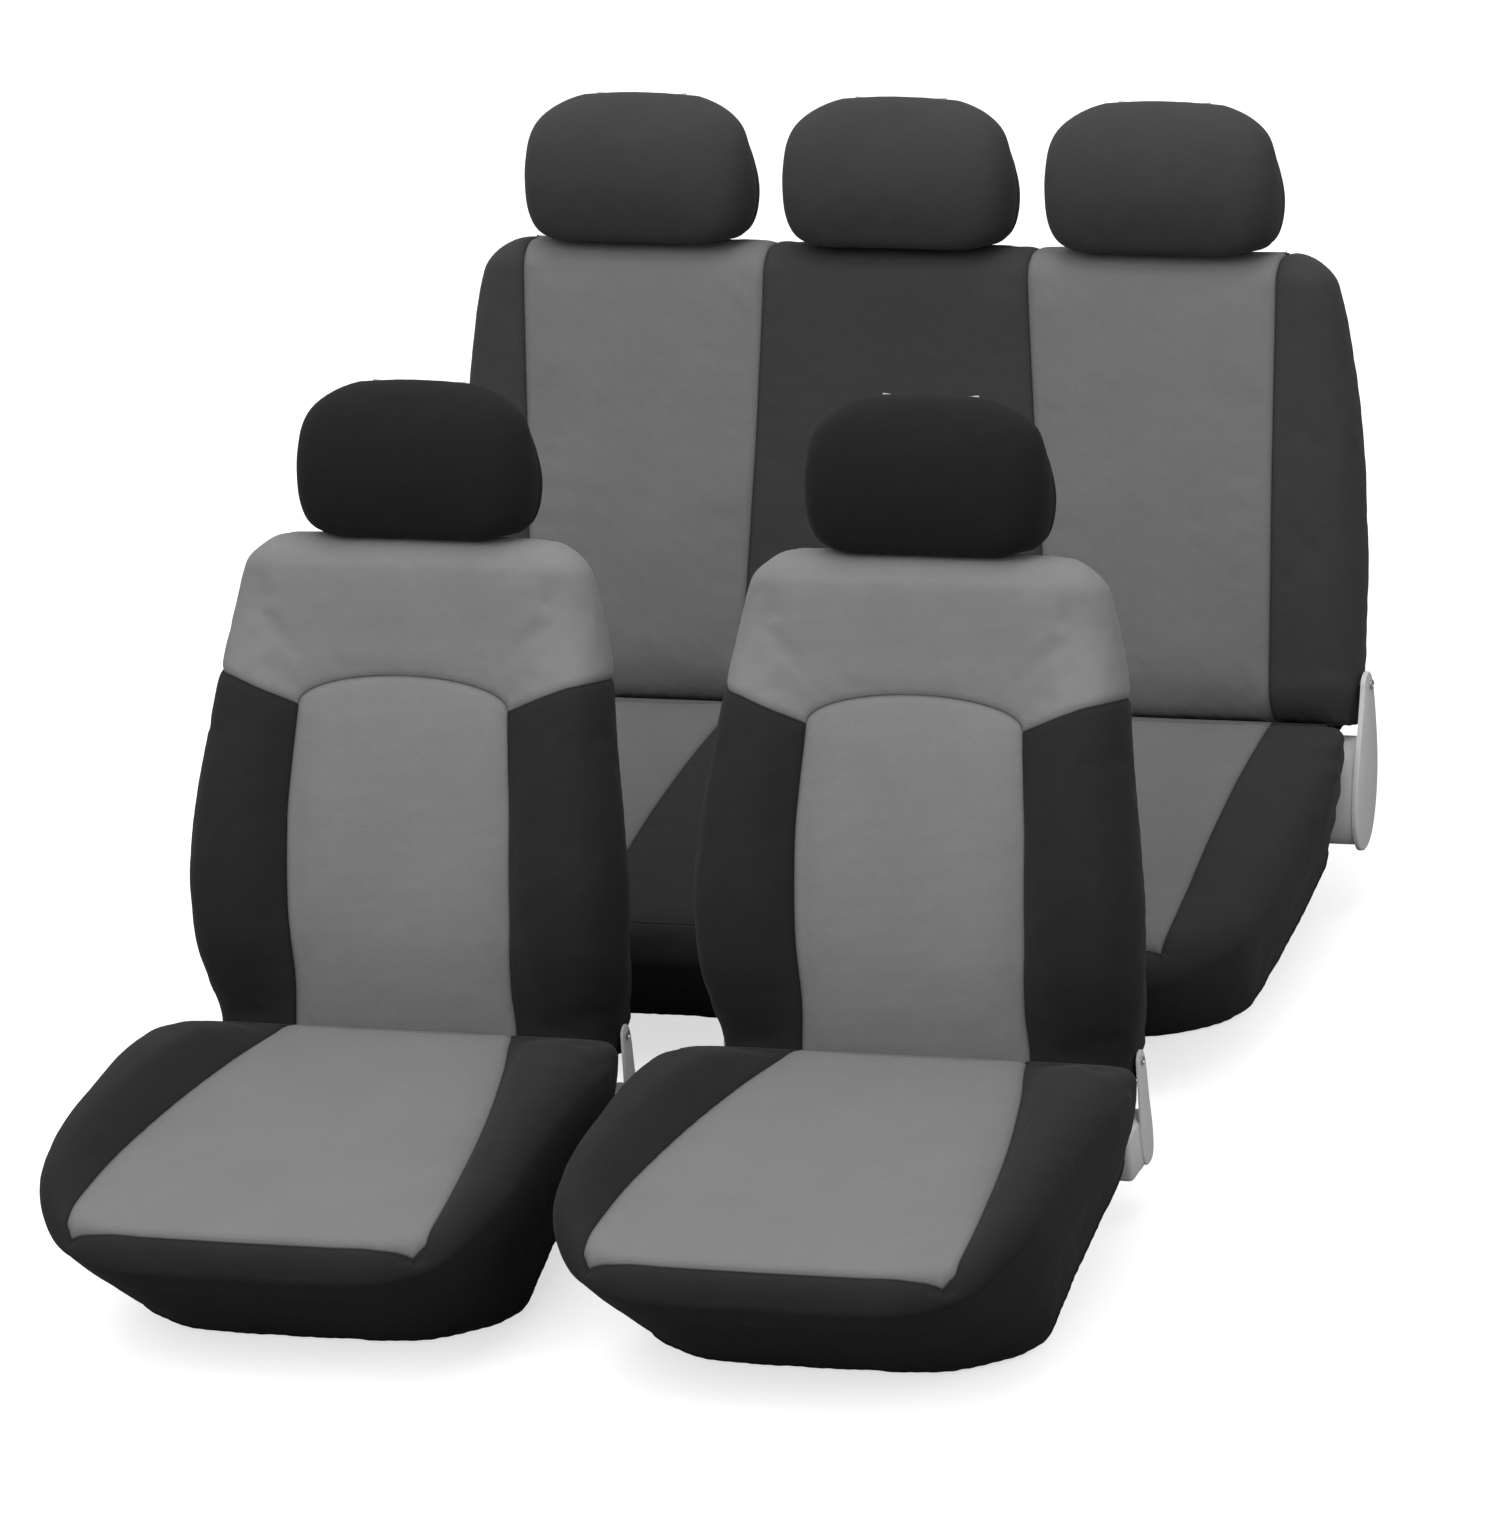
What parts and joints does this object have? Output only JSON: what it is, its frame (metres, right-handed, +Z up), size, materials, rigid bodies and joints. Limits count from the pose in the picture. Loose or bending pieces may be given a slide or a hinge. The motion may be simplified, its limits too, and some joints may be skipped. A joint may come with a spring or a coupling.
{
  "type": "seat cover set",
  "caption": "Two-tone knit seat cover set for a car, stretched over front seats and a rear bench, with matching headrest covers.",
  "frame": {"origin": "middle of the set's footprint, on the floor under the seats", "axes": "+X to the right of someone who looks at the seats' fronts, +Y from the front seats back towards the rear bench, +Z up"},
  "size_m": [1.244, 1.7104, 0.9415],
  "materials": {
    "knit_grey": "matte polyester knit over thin foam",
    "knit_black": "matte polyester knit over thin foam",
    "seat_form": "pale seat upholstery",
    "steel": "polished",
    "seat_shield": "satin moulded",
    "elastic": "woven elastic webbing",
    "buckle": "satin moulded"
  },
  "bodies": {
    "rear_base": {"rear_bench_centre_panel": "knit_black", "rear_bench_panel_left": "knit_grey", "rear_bench_panel_right": "knit_grey", "rear_bench_surround": "knit_black", "rear_bench_form": "seat_form", "rear_hinge_plate_left": "seat_shield", "rear_hinge_plate_right": "seat_shield", "rear_hinge_rod": "steel"},
    "rear_back": {"rear_back_centre_panel": "knit_black", "rear_back_panel_left": "knit_grey", "rear_back_panel_right": "knit_grey", "rear_back_side_left": "knit_black", "rear_back_side_right": "knit_black", "rear_back_form": "seat_form", "rear_back_strap": "elastic", "rear_back_strap_buckle": "buckle"},
    "rear_head_left": {"rear_headrest_left_cover": "knit_black", "rear_headrest_left_core": "seat_form", "rear_headrest_left_posts": "steel"},
    "rear_head_centre": {"rear_headrest_centre_cover": "knit_black", "rear_headrest_centre_core": "seat_form", "rear_headrest_centre_posts": "steel"},
    "rear_head_right": {"rear_headrest_right_cover": "knit_black", "rear_headrest_right_core": "seat_form", "rear_headrest_right_posts": "steel"},
    "front_left_base": {"front_left_cushion_centre_panel": "knit_grey", "front_left_cushion_surround": "knit_black", "front_left_cushion_form": "seat_form", "front_left_under_strap": "elastic", "front_left_strap_buckle": "buckle", "front_left_hinge_plate_left": "seat_shield", "front_left_hinge_plate_right": "seat_shield", "front_left_hinge_rod": "steel"},
    "front_left_back": {"front_left_back_centre_panel": "knit_grey", "front_left_back_yoke": "knit_grey", "front_left_back_bolster_left": "knit_black", "front_left_back_bolster_right": "knit_black", "front_left_back_rear_panel": "knit_black", "front_left_back_form": "seat_form"},
    "front_left_head": {"front_left_headrest_cover": "knit_black", "front_left_headrest_core": "seat_form", "front_left_headrest_posts": "steel"},
    "front_right_base": {"front_right_cushion_centre_panel": "knit_grey", "front_right_cushion_surround": "knit_black", "front_right_cushion_form": "seat_form", "front_right_under_strap": "elastic", "front_right_strap_buckle": "buckle", "front_right_hinge_plate_left": "seat_shield", "front_right_hinge_plate_right": "seat_shield", "front_right_hinge_rod": "steel"},
    "front_right_back": {"front_right_back_centre_panel": "knit_grey", "front_right_back_yoke": "knit_grey", "front_right_back_bolster_left": "knit_black", "front_right_back_bolster_right": "knit_black", "front_right_back_rear_panel": "knit_black", "front_right_back_form": "seat_form"},
    "front_right_head": {"front_right_headrest_cover": "knit_black", "front_right_headrest_core": "seat_form", "front_right_headrest_posts": "steel"}
  },
  "joints": [
    {"name": "front_left_slide", "type": "slide", "parent": "rear_base", "child": "front_left_base", "axis": [0, -1, 0], "range_m": [-0.08, 0.12]},
    {"name": "front_left_recline", "type": "hinge", "parent": "front_left_base", "child": "front_left_back", "pos_m": [-0.325, -0.24903, 0.17979], "axis": [1, 0, 0], "range_deg": [-38, 18]},
    {"name": "front_left_headrest_slide", "type": "slide", "parent": "front_left_back", "child": "front_left_head", "axis": [0, 0.3535, 0.9354], "range_m": [0, 0.06]},
    {"name": "front_right_slide", "type": "slide", "parent": "rear_base", "child": "front_right_base", "axis": [0, -1, 0], "range_m": [-0.08, 0.12]},
    {"name": "front_right_recline", "type": "hinge", "parent": "front_right_base", "child": "front_right_back", "pos_m": [0.325, -0.24903, 0.17979], "axis": [1, 0, 0], "range_deg": [-38, 18]},
    {"name": "front_right_headrest_slide", "type": "slide", "parent": "front_right_back", "child": "front_right_head", "axis": [0, 0.3535, 0.9354], "range_m": [0, 0.06]},
    {"name": "rear_back_fold", "type": "hinge", "parent": "rear_base", "child": "rear_back", "pos_m": [0, 0.61137, 0.25769], "axis": [1, 0, 0], "range_deg": [0, 78]},
    {"name": "rear_headrest_left_slide", "type": "slide", "parent": "rear_back", "child": "rear_head_left", "axis": [0, 0.342, 0.9397], "range_m": [0, 0.06]},
    {"name": "rear_headrest_centre_slide", "type": "slide", "parent": "rear_back", "child": "rear_head_centre", "axis": [0, 0.342, 0.9397], "range_m": [0, 0.06]},
    {"name": "rear_headrest_right_slide", "type": "slide", "parent": "rear_back", "child": "rear_head_right", "axis": [0, 0.342, 0.9397], "range_m": [0, 0.06]}
  ]
}
